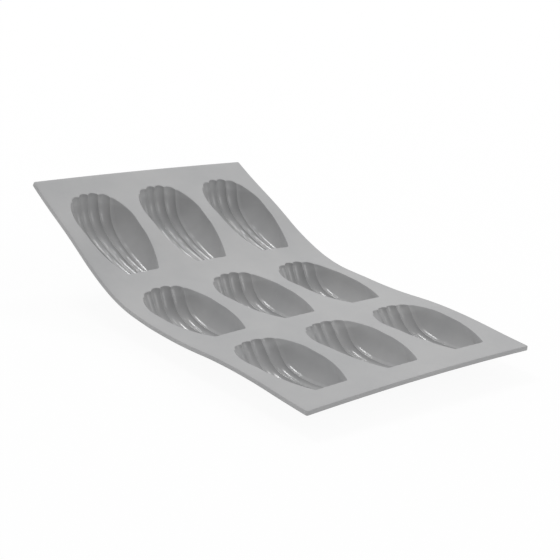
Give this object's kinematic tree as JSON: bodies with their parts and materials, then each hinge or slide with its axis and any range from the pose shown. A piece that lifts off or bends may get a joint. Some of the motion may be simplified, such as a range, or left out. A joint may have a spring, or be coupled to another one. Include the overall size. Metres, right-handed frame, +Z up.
{
  "type": "flexible madeleine mould",
  "caption": "Flexible silicone baking mould with rows of fluted, shell-shaped cavities in a flat sheet, lying gently flexed into a wave with one end curled up.",
  "frame": {"origin": "middle of the overall box's underside, on the surface that the cups stand on", "axes": "+X across the sheet, to the right as seen from the front edge; +Y along the sheet, from the narrow ends of the cavities to their scalloped ends; +Z up, out of the open cavities"},
  "size_m": [0.1761, 0.2937, 0.0725],
  "materials": {
    "silicone": "matte"
  },
  "bodies": {
    "middle_row": {"middle_panel": "silicone", "front_flex_web": "silicone", "back_flex_web": "silicone", "middle_left_cup": "silicone", "middle_centre_cup": "silicone", "middle_right_cup": "silicone"},
    "back_row": {"back_panel": "silicone", "back_left_cup": "silicone", "back_centre_cup": "silicone", "back_right_cup": "silicone"},
    "front_row": {"front_panel": "silicone", "front_left_cup": "silicone", "front_centre_cup": "silicone", "front_right_cup": "silicone"}
  },
  "joints": [
    {"name": "back_bend", "type": "hinge", "parent": "middle_row", "child": "back_row", "pos_m": [-0.00001, 0.0513, 0.02347], "axis": [0.9997, 0.008, -0.0237], "range_deg": [-95, 65], "stiffness_Nm_per_rad": 0.95, "deforming": ["back_flex_web"]},
    {"name": "front_bend", "type": "hinge", "parent": "middle_row", "child": "front_row", "pos_m": [0.00001, -0.04266, 0.01688], "axis": [-1, -0.0005, -0.007], "range_deg": [-75, 90], "stiffness_Nm_per_rad": 0.95, "deforming": ["front_flex_web"]}
  ]
}
